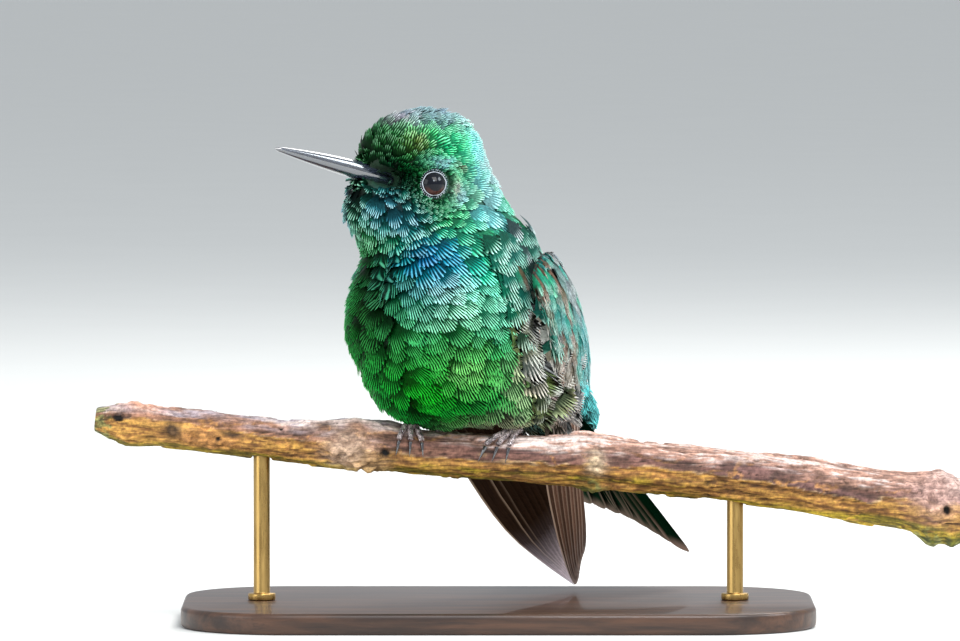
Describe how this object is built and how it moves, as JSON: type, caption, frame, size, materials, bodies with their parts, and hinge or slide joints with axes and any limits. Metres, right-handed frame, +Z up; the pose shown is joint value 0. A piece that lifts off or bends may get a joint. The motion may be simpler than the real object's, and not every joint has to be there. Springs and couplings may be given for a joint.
{
  "type": "hummingbird",
  "caption": "Small glossy green hummingbird with a straight black bill, perched at rest on a cut length of branch held by two pins over a flat base.",
  "frame": {"origin": "middle of the underside of the stand's base", "axes": "+Z up, +X along the branch towards its thicker, cut end; the bird faces -Y and turns towards -X, and its tail points to +Y and +X"},
  "size_m": [0.1337, 0.0736, 0.0775],
  "materials": {
    "head_plumage": "iridescent green scale-like feathers, bronze at the forehead and black before the eye",
    "throat_plumage": "iridescent dark teal to blue scale-like feathers",
    "belly_plumage": "iridescent emerald feathers with open barbs, grey at the flanks",
    "back_plumage": "iridescent turquoise feathers",
    "flight_feathers": "satin brown feathers with pale edges",
    "tail_feathers": "satin green-black feathers with grey-brown edges",
    "bill": "glossy black horn",
    "eye": "wet black with a dark brown iris",
    "leg": "scaled skin, dark with pale grey edges",
    "claw": "dark horn",
    "bark": "weathered bark with yellow-green growth beneath",
    "stand_wood": "dark satin wood",
    "stand_metal": "satin brass"
  },
  "bodies": {
    "root": {"head": "head_plumage", "neck": "throat_plumage", "breast": "belly_plumage", "belly": "belly_plumage", "back": "back_plumage", "rump": "back_plumage", "wing_left": "flight_feathers", "wing_coverts_left": "back_plumage", "eye_left": "eye", "leg_left": "leg", "claw_left_1": "claw", "claw_left_2": "claw", "claw_left_3": "claw", "claw_left_4": "claw", "wing_right": "flight_feathers", "wing_coverts_right": "back_plumage", "eye_right": "eye", "leg_right": "leg", "claw_right_1": "claw", "claw_right_2": "claw", "claw_right_3": "claw", "claw_right_4": "claw", "tail": "tail_feathers", "bill_upper": "bill", "bill_lower": "bill", "perch_branch": "bark", "stand_base": "stand_wood", "stand_pin_left": "stand_metal", "stand_pin_right": "stand_metal"}
  },
  "joints": []
}
